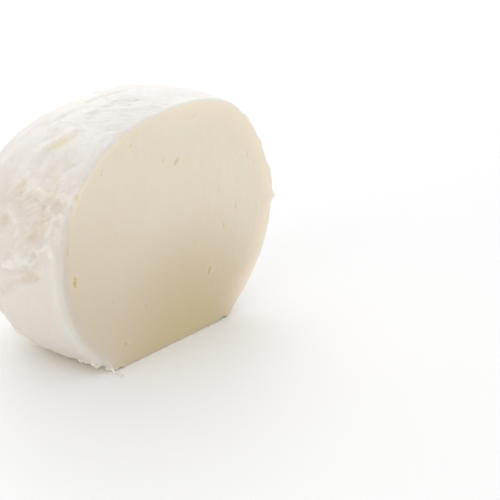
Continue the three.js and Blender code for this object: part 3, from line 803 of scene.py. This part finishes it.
def strand(path):
    """A strand's points, and its triangles: a flattened tube that tapers, with both ends closed."""
    line = smooth_path(path, SHRED_STEPS)
    ahead = unit(np.gradient(line, axis=0))
    level = unit(np.cross(ahead, [0, 0, 1]))
    over = np.cross(level, ahead)
    share = np.linspace(0, 1, SHRED_STEPS)
    thickness = SHRED_ROOT + (SHRED_TIP - SHRED_ROOT) * share**SHRED_TAPER
    radius = thickness / 2 * (1 + SHRED_WAVE * noise(line, SHRED_WAVE_SIZE, SHRED_WAVE_SEED))
    turn = np.linspace(0, 2 * np.pi, SHRED_SIDES, endpoint=False)
    sideways = np.cos(turn)[:, None] * level[:, None]
    upwards = SHRED_FLATNESS * np.sin(turn)[:, None] * over[:, None]
    points = (line[:, None] + radius[:, None, None] * (sideways + upwards)).reshape(-1, 3)
    points = np.concatenate([points, line[:1], line[-1:]])
    points[:, 2] = np.maximum(points[:, 2], SHRED_CLEARANCE)
    ring = np.arange(SHRED_SIDES)
    next_ring = (ring + 1) % SHRED_SIDES
    faces = []
    for step in range(SHRED_STEPS - 1):
        near, near_next = step * SHRED_SIDES + ring, step * SHRED_SIDES + next_ring
        far, far_next = near + SHRED_SIDES, near_next + SHRED_SIDES
        faces += [(near, near_next, far_next), (near, far_next, far)]
    last = (SHRED_STEPS - 1) * SHRED_SIDES
    root, tip = np.full(SHRED_SIDES, len(points) - 2), np.full(SHRED_SIDES, len(points) - 1)
    faces += [(root, next_ring, ring), (tip, last + ring, last + next_ring)]
    return points, np.concatenate([np.stack(face, axis=1) for face in faces])


def shred_surface():
    """The points and triangles of both strands."""
    strands = [strand(path) for path in (LONG_STRAND, SHORT_STRAND)]
    points = np.concatenate([points for points, _ in strands])
    faces = [faces + n * len(points) for n, (points, faces) in enumerate(strands)]
    return points, np.concatenate(faces)


shred_points, shred_faces = shred_surface()
zero = np.zeros(len(shred_points))
shred_masks = {"band": zero + 1, "glow": zero + SHRED_GLOW, "drawn": shred_points}
shred_masks |= {key: zero for key in ("cut", "hollow", "rough", "relief")}
shred = add_mesh("loose_shred", shred_points, shred_faces, shred_masks)

# ---------- Material

# Colours of the skin, its painted light and shade among them.
# the skin's colour above, partly painted light, and the colour of its painted highlights
WHITE_SKIN = (0.83, 0.80, 0.765)
# the skin's warmer tone, also its painted shade further down
WARM_SHADED_SKIN = (0.685, 0.625, 0.565)
BARE_BAND = (0.70, 0.675, 0.61)
# painted glow of light through the thin edge, on the skin
PAINTED_RIM_GLOW = (0.95, 0.91, 0.865)
UNDERSIDE_SHADE = (0.76, 0.63, 0.38)
CREASE_SHADE_TONE = (0.97, 0.915, 0.79)  # painted shade: times the skin's colour in its creases

# Colours of the cut face, and the painted shade in the gash, the holes, the dimples and the fold low on the
# left.
IVORY_CUT = (0.86, 0.765, 0.61)
PALE_CUT = (0.88, 0.81, 0.695)
LOW_SHADE_CUT = (0.71, 0.615, 0.475)
SCRATCHED_CUT = (0.94, 0.89, 0.81)
FOOT_SHADOW_CUT = (0.655, 0.55, 0.345)
# painted glow of light through the thin edge, on the cut
EDGE_GLOW = (0.985, 0.845, 0.69)
HOLLOW_SHADE = (0.89, 0.79, 0.46)

# Each FADE is the value at which a tint starts and the value at which it is full. Each SHARE is how far
# the tint then goes. Each NOISE is the size of the noise's bumps in mm, and its detail.
SHADE_BELOW_FADE = (52, 30)  # heights in mm: the skin is darker and warmer further down, partly its own warmer tone and partly painted shade
MOTTLE, MOTTLE_NOISE = 24, (6, 4)  # and this many mm of unevenness break that up
FLECK_NOISE, FLECK_FADE, FLECK_SHARE = (1.3, 3), (0.5, 0.75), 0.3
CREASE_SHADE_FADE, CREASE_SHADE_SHARE = (-0.08, -0.6), 0.42  # relief in mm: creases get painted shade, darker and yellower
HIGHLIGHT_FADE, HIGHLIGHT_SHARE = (0.15, 0.6), 0.45  # and what stands out is painted whiter, as a highlight
UNDERSIDE_SHADE_FADE, UNDERSIDE_SHADE_SHARE = (3.5, 0), 0.8  # heights in mm: painted shade, warm, on the underside near the plane

TRACK_STRETCH, TRACK_NOISE = (0.12, 1, 1), (1.6, 3)  # pale tracks run along the drawn curd
TRACK_FADE, TRACK_SHARE = (0.3, 0.75), 0.45
CLOUD_NOISE, CLOUD_FADE, CLOUD_SHARE = (14, 2), (0.3, 0.7), 0.4
CUT_SHADE_FADE = (42, -2)  # heights in mm: painted shade, the cut darker and yellower towards the foot
CUT_SHADE_SLANT = 0.3  # and the more so to the left, by this many mm for each mm across
SCRATCH_STRETCH, SCRATCH_NOISE = (0.22, 1, 1), (0.8, 4)
SCRATCH_FADE, SCRATCH_SHARE = (0.56, 0.72), 0.42
SCRATCHED_SIDE = (0, 14)  # mm across the cut: only its right is scratched
FOOT_SHADOW_MIDDLE, FOOT_SHADOW_FADE = (4, 0, 0), (30, 4)  # a painted shadow with warm bounce, darkest at the middle of its foot: distances in mm

# Height of the fine bumps in mm, on the skin and on the cut.
POCK_NOISE, POCKS, POCKS_WHERE_ROUGH = (0.9, 4), 0.08, 0.16
GRAIN_NOISE, SKIN_GRAIN, FACE_GRAIN = (0.35, 3), 0.03, 0.01
FINE_TRACK_STRETCH, FINE_TRACK_NOISE = (0.1, 1, 1), (0.45, 3)
SKIN_TRACKS, FACE_TRACKS = 0.05, 0.025
BUMP_STRENGTH = 0.7

NOISE_ROUGHNESS = 0.55
GLOSS_FADE, GLOSSIEST, DULLEST = (0.3, 0.7), 0.38, 0.55  # the pocks' pits are the glossiest
SPECULAR = 0.4
SCATTER_SHARE = 0.62  # of the light goes into the cheese and comes out again
SCATTER_DEPTH = 1.7 * MM  # how far red light wanders there
THIN_SCATTER_DEPTH = 0.15 * MM  # and in the shred
SCATTER_COLOURS = (1.0, 0.85, 0.7)  # how far red, green and blue go, as shares of that


class Shader:
    """The node tree of a material or of the sky, with short ways to add nodes."""

    def __init__(self, owner):
        owner.use_nodes = True
        self.tree = owner.node_tree
        self.tree.nodes.clear()

    def add(self, kind, inputs=None, **settings):
        """A node of a kind. An input is given a number, a colour or another node's output."""
        node = self.tree.nodes.new("ShaderNode" + kind)
        for key, value in settings.items():
            setattr(node, key, value)
        for key, value in (inputs or {}).items():
            if isinstance(value, bpy.types.NodeSocket):
                self.tree.links.new(value, node.inputs[key])
            else:
                node.inputs[key].default_value = value
        return node

    def mask(self, name, kind="Fac"):
        """A number kept at the mesh's vertices, or a vector where kind is "Vector"."""
        return self.add("Attribute", attribute_name=name).outputs[kind]

    def math(self, operation, a, b):
        """Two numbers put together."""
        return self.add("Math", {0: a, 1: b}, operation=operation).outputs[0]

    def scaled(self, value, share):
        """A number times a share."""
        return self.math("MULTIPLY", value, share)

    def ramp(self, value, start, full):
        """A smooth step from 0 where a value is at start to 1 where it is at full."""
        ends = {"Value": value, "From Min": start, "From Max": full}
        return self.add("MapRange", ends, interpolation_type="SMOOTHSTEP").outputs["Result"]

    def mix(self, share, a, b):
        """Colour a, turned into colour b by a share. The node's sockets for colours are 0, 6 and 7."""
        a, b = (value if isinstance(value, bpy.types.NodeSocket) else (*value, 1) for value in (a, b))
        return self.add("Mix", {0: share, 6: a, 7: b}, data_type="RGBA").outputs[2]

    def noise(self, where, size, detail):
        """Noise from 0 to 1 with bumps of a size, in the units of where."""
        look = {"Vector": where, "Scale": 1 / size, "Detail": detail, "Roughness": NOISE_ROUGHNESS}
        return self.add("TexNoise", look).outputs["Fac"]

    def pattern(self, where, bumps, fade):
        """A smooth step between two values of a noise, from its bumps' size and detail."""
        return self.ramp(self.noise(where, *bumps), *fade)

    def stretched(self, where, scale):
        """A vector or a colour times another, each of its numbers on its own."""
        return self.add("VectorMath", {0: where, 1: scale}, operation="MULTIPLY").outputs[0]


def skin_colour(shader, place_mm, height_mm, glow):
    """Whiter above and darker, warmer below, partly as painted shade, with flecks, painted shade in
    creases, painted highlights on what stands out, a paler band along the cut, a painted glow along its
    thin edge and painted shade on the underside.
    """
    band = shader.mask("band")
    relief = shader.mask("relief")
    mottle = shader.math("SUBTRACT", shader.noise(place_mm, *MOTTLE_NOISE), 0.5)
    mottled = shader.math("ADD", height_mm, shader.scaled(mottle, MOTTLE))
    flecks = shader.scaled(shader.pattern(place_mm, FLECK_NOISE, FLECK_FADE), FLECK_SHARE)
    # whiter above, and darker and warmer further down: partly painted shade
    skin = shader.mix(shader.ramp(mottled, *SHADE_BELOW_FADE), WHITE_SKIN, WARM_SHADED_SKIN)
    skin = shader.mix(flecks, skin, WARM_SHADED_SKIN)
    # painted shade in the creases
    crease_shade = shader.scaled(shader.ramp(relief, *CREASE_SHADE_FADE), CREASE_SHADE_SHARE)
    # painted highlight on what stands out
    raised_highlight = shader.scaled(shader.ramp(relief, *HIGHLIGHT_FADE), HIGHLIGHT_SHARE)
    skin = shader.mix(crease_shade, skin, shader.stretched(skin, CREASE_SHADE_TONE))
    skin = shader.mix(raised_highlight, skin, WHITE_SKIN)
    skin = shader.mix(band, skin, BARE_BAND)
    skin = shader.mix(glow, skin, PAINTED_RIM_GLOW)
    # painted shade, warm, low on the underside, except on the band
    low = shader.scaled(shader.ramp(height_mm, *UNDERSIDE_SHADE_FADE), shader.math("SUBTRACT", 1, band))
    return shader.mix(shader.scaled(low, UNDERSIDE_SHADE_SHARE), skin, UNDERSIDE_SHADE)


def face_colour(shader, place_mm, height_mm, drawn, glow):
    """Ivory with paler tracks and clouds, painted shade towards the foot, and painted light in its thin
    edge.
    """
    across_mm = shader.add("SeparateXYZ", {0: place_mm}).outputs["X"]
    tracks = shader.pattern(shader.stretched(drawn, TRACK_STRETCH), TRACK_NOISE, TRACK_FADE)
    clouds = shader.pattern(place_mm, CLOUD_NOISE, CLOUD_FADE)
    face = shader.mix(shader.scaled(tracks, TRACK_SHARE), IVORY_CUT, PALE_CUT)
    face = shader.mix(shader.scaled(clouds, CLOUD_SHARE), face, PALE_CUT)
    # painted shade, darker and yellower towards the foot and the left
    slanted_height = shader.math("ADD", height_mm, shader.scaled(across_mm, CUT_SHADE_SLANT))
    face = shader.mix(shader.ramp(slanted_height, *CUT_SHADE_FADE), face, LOW_SHADE_CUT)
    scratches = shader.pattern(shader.stretched(drawn, SCRATCH_STRETCH), SCRATCH_NOISE, SCRATCH_FADE)
    scratches = shader.scaled(scratches, shader.ramp(across_mm, *SCRATCHED_SIDE))
    face = shader.mix(shader.scaled(scratches, SCRATCH_SHARE), face, SCRATCHED_CUT)
    # painted shadow with warm bounce round the middle of the foot
    on_face = {0: shader.stretched(place_mm, (1, 0, 1)), 1: FOOT_SHADOW_MIDDLE}
    from_foot = shader.add("VectorMath", on_face, operation="DISTANCE").outputs["Value"]
    face = shader.mix(shader.ramp(from_foot, *FOOT_SHADOW_FADE), face, FOOT_SHADOW_CUT)
    return shader.mix(glow, face, EDGE_GLOW)


def fine_bumps(shader, place_mm, drawn, cut, pocks):
    """The surface's direction, with pocks on the skin, and grain and drawn tracks everywhere."""
    rough = shader.mask("rough")
    grain = shader.noise(place_mm, *GRAIN_NOISE)
    tracks = shader.noise(shader.stretched(drawn, FINE_TRACK_STRETCH), *FINE_TRACK_NOISE)
    by_roughness = {"Value": rough, "To Min": POCKS, "To Max": POCKS_WHERE_ROUGH}
    pock_height = shader.add("MapRange", by_roughness).outputs["Result"]
    skin = shader.math("ADD", shader.scaled(pocks, pock_height), shader.scaled(grain, SKIN_GRAIN))
    skin = shader.math("ADD", skin, shader.scaled(tracks, SKIN_TRACKS))
    face = shader.math("ADD", shader.scaled(tracks, FACE_TRACKS), shader.scaled(grain, FACE_GRAIN))
    height = shader.add("Mix", {0: cut, 2: skin, 3: face}, data_type="FLOAT").outputs[0]
    bumps = {"Height": height, "Strength": BUMP_STRENGTH, "Distance": MM}
    return shader.add("Bump", bumps).outputs["Normal"]


def cheese_material(name, scatter_depth):
    """Fresh cheese: whiter, fibrous skin outside, and ivory, finely drawn cheese where it is cut."""
    material = bpy.data.materials.new(name)
    shader = Shader(material)
    place_mm = shader.stretched(shader.add("TexCoord").outputs["Object"], (1 / MM, 1 / MM, 1 / MM))
    height_mm = shader.add("SeparateXYZ", {0: place_mm}).outputs["Z"]
    drawn = shader.mask("drawn", "Vector")
    cut = shader.mask("cut")
    glow = shader.mask("glow")
    hollow = shader.mask("hollow")

    skin = skin_colour(shader, place_mm, height_mm, glow)
    face = face_colour(shader, place_mm, height_mm, drawn, glow)
    colour = shader.mix(cut, skin, face)
    # painted shade in the gash, holes, dimples and the shaded fold
    colour = shader.mix(hollow, colour, HOLLOW_SHADE)

    pocks = shader.noise(place_mm, *POCK_NOISE)
    low, high = GLOSS_FADE
    by_pocks = {"Value": pocks, "From Min": low, "From Max": high, "To Min": GLOSSIEST, "To Max": DULLEST}
    gloss = shader.add("MapRange", by_pocks).outputs["Result"]
    looks = {
        "Base Color": colour,
        "Roughness": gloss,
        "Normal": fine_bumps(shader, place_mm, drawn, cut, pocks),
        "Specular IOR Level": SPECULAR,
        "Subsurface Weight": SCATTER_SHARE,
        "Subsurface Radius": SCATTER_COLOURS,
        "Subsurface Scale": scatter_depth,
    }
    shader.add("OutputMaterial", {"Surface": shader.add("BsdfPrincipled", looks).outputs[0]})
    return material


cheese = cheese_material("fresh_cheese", SCATTER_DEPTH)
shred_cheese = cheese_material("cheese_shred", THIN_SCATTER_DEPTH)
for piece, material in ((ball, cheese), (shred, shred_cheese)):
    piece.data.materials.append(material)
    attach(piece, "root")
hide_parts("mozzarella")

# ---------- Floor, light and camera

FLOOR_SIZE = 4000
FLOOR_COLOUR = (0.98, 0.98, 0.98)
FLOOR_ROUGHNESS = 0.6
SKY_STRENGTH = 0.78
BACKDROP_STRENGTH = 0.55  # what the backdrop adds to it
BACKDROP_DIRECTION = (0.79, 0.61, 0)
BACKDROP_SPREAD = (0.5, 0.95)  # cosines between which it grows to its full strength

# Soft boxes stand round the ball: place in mm and power in watts.
SOFT_BOXES = {
    "overhead": ((90, 260, 420), 0.15),
    "back_right": ((330, 330, 300), 0.4),
    "left": ((-480, 40, 200), 0.46),
    "low_left": ((-470, -160, 110), 0.3),
}
SOFT_BOX_SIZE = 360
SOFT_BOX_AIM = (0, 0, 20)


def add_floor():
    """A pale floor, far larger than what the camera sees."""
    half = FLOOR_SIZE / 2
    corners = np.array([(-half, -half, 0), (half, -half, 0), (half, half, 0), (-half, half, 0)])
    floor = add_mesh("floor", corners, np.array([(0, 1, 2, 3)]), {})
    material = bpy.data.materials.new("pale_floor")
    shader = Shader(material)
    surface = shader.add("BsdfPrincipled", {"Base Color": (*FLOOR_COLOUR, 1), "Roughness": FLOOR_ROUGHNESS})
    shader.add("OutputMaterial", {"Surface": surface.outputs[0]})
    floor.data.materials.append(material)


def add_soft_boxes():
    """The lights, each of which faces the ball."""
    for name, (at, watts) in SOFT_BOXES.items():
        light = bpy.data.lights.new(name, "AREA")
        light.shape = "SQUARE"
        light.size = SOFT_BOX_SIZE * MM
        light.energy = watts
        lamp = bpy.data.objects.new(name, light)
        lamp.location = Vector(at) * MM
        lamp.rotation_euler = (Vector(SOFT_BOX_AIM) - Vector(at)).to_track_quat("-Z", "Y").to_euler()
        bpy.context.scene.collection.objects.link(lamp)


def add_sky():
    """An even sky, with a brighter backdrop low behind the ball."""
    world = bpy.data.worlds.new("studio")
    shader = Shader(world)
    direction = shader.add("TexCoord").outputs["Generated"]
    facing = shader.add("VectorMath", {0: direction, 1: BACKDROP_DIRECTION}, operation="DOT_PRODUCT")
    backdrop = shader.ramp(facing.outputs["Value"], *BACKDROP_SPREAD)
    strength = shader.math("ADD", shader.scaled(backdrop, BACKDROP_STRENGTH), SKY_STRENGTH)
    light = shader.add("Background", {"Color": (1, 1, 1, 1), "Strength": strength})
    shader.add("OutputWorld", {"Surface": light.outputs[0]})
    bpy.context.scene.world = world


# The camera looks down at the ball from its front left: in degrees and mm, and what it clips in metres.
CAMERA_AZIMUTH, CAMERA_ELEVATION = -52.43, 19.95
CAMERA_DISTANCE = 327.0
CAMERA_TARGET = (AXIS_X + 24.58, -19.7, 12.76)
FOCAL_LENGTH, SENSOR_WIDTH = 111.39, 36.0
CLIP_START, CLIP_END = 0.01, 20


def add_camera():
    """The photo's camera."""
    azimuth, elevation = np.radians([CAMERA_AZIMUTH, CAMERA_ELEVATION])
    level = np.cos(elevation)
    back = Vector((np.sin(azimuth) * level, -np.cos(azimuth) * level, np.sin(elevation)))
    right = Vector((np.cos(azimuth), np.sin(azimuth), 0))
    lens = bpy.data.cameras.new("camera")
    lens.lens, lens.sensor_width = FOCAL_LENGTH, SENSOR_WIDTH
    lens.clip_start, lens.clip_end = CLIP_START, CLIP_END
    camera = bpy.data.objects.new("camera", lens)
    axes = Matrix((right, back.cross(right), back)).transposed()
    at = (Vector(CAMERA_TARGET) + CAMERA_DISTANCE * back) * MM
    camera.matrix_world = Matrix.Translation(at) @ axes.to_4x4()
    bpy.context.scene.collection.objects.link(camera)
    bpy.context.scene.camera = camera


add_floor()
add_sky()
add_soft_boxes()
add_camera()
bpy.context.scene.view_settings.view_transform = "Standard"
